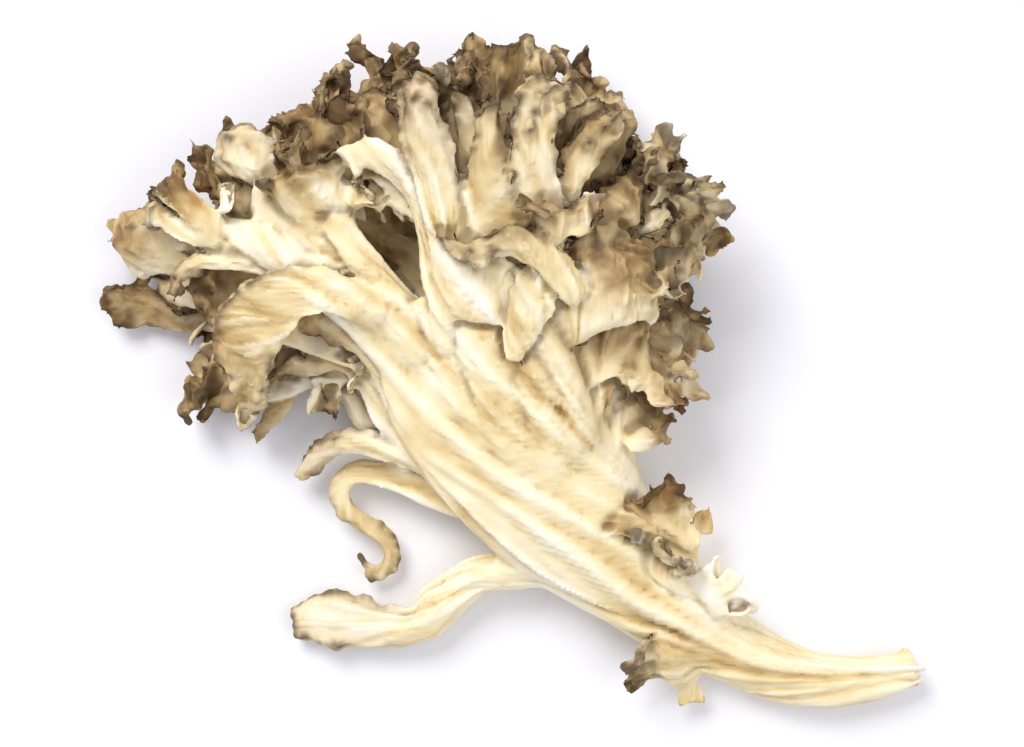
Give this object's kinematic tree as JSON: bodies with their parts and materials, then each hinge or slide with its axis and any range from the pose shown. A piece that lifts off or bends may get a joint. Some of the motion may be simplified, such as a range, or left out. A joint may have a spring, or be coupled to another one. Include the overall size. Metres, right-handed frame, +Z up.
{
  "type": "dried maitake mushroom cluster",
  "caption": "Dried maitake cluster lying flat: a torn flattened stem that opens into a fan of thin pale fronds with curled, frilled brown caps.",
  "frame": {"origin": "on the table, under the middle of the cluster's outer box", "axes": "+Z up from the table; the torn butt of the stem points to +X and -Y, the fan of caps opens to +Y and -X"},
  "size_m": [0.0962, 0.0788, 0.0221],
  "materials": {
    "pale_flesh": "matte",
    "brown_cap": "matte"
  },
  "bodies": {
    "root": {"main_stem": "pale_flesh", "side_stub": "pale_flesh", "torn_flap": "pale_flesh", "torn_lip": "pale_flesh", "torn_scale": "pale_flesh", "straight_tendril": "pale_flesh", "curled_tendril": "pale_flesh", "face_slab_left": "pale_flesh", "face_slab_middle": "pale_flesh", "face_slab_right": "pale_flesh", "face_rib": "pale_flesh", "left_bough": "pale_flesh", "pale_lobe": "pale_flesh", "left_fold_upper": "pale_flesh", "left_fold_lower": "pale_flesh", "left_under_strip": "pale_flesh", "left_crown_cap": "pale_flesh", "left_hook_cap": "pale_flesh", "left_finger": "pale_flesh", "left_hood": "brown_cap", "left_small_cap": "brown_cap", "left_tongue": "brown_cap", "left_cup": "brown_cap", "left_fringe": "brown_cap", "left_prong": "brown_cap", "upper_left_bough": "pale_flesh", "arch_left": "pale_flesh", "arch_right": "pale_flesh", "crumpled_cap_outer": "brown_cap", "pale_loop_cap": "pale_flesh", "crumpled_cap_left": "brown_cap", "crumpled_cap_middle": "brown_cap", "tan_lobe": "brown_cap", "crumpled_cap_upper": "brown_cap", "crumpled_cap_top": "brown_cap", "hook_frond": "pale_flesh", "centre_frond_left": "pale_flesh", "dark_tongue": "brown_cap", "centre_blade": "pale_flesh", "centre_frond_right": "brown_cap", "curl_frond": "pale_flesh", "slant_strip": "pale_flesh", "grey_cup": "brown_cap", "upper_right_lobe": "brown_cap", "right_roll": "brown_cap", "right_fan": "brown_cap", "right_low_lobe": "brown_cap", "right_crest": "brown_cap", "right_crumple": "brown_cap", "right_strip": "pale_flesh", "right_prong": "brown_cap", "torn_ribbon": "pale_flesh", "hanging_tongue": "pale_flesh", "centre_knob": "brown_cap", "under_cap_left": "brown_cap", "under_cap_upper": "brown_cap", "under_cap_middle": "brown_cap", "under_cap_right": "brown_cap", "under_cap_low": "brown_cap"}
  },
  "joints": []
}
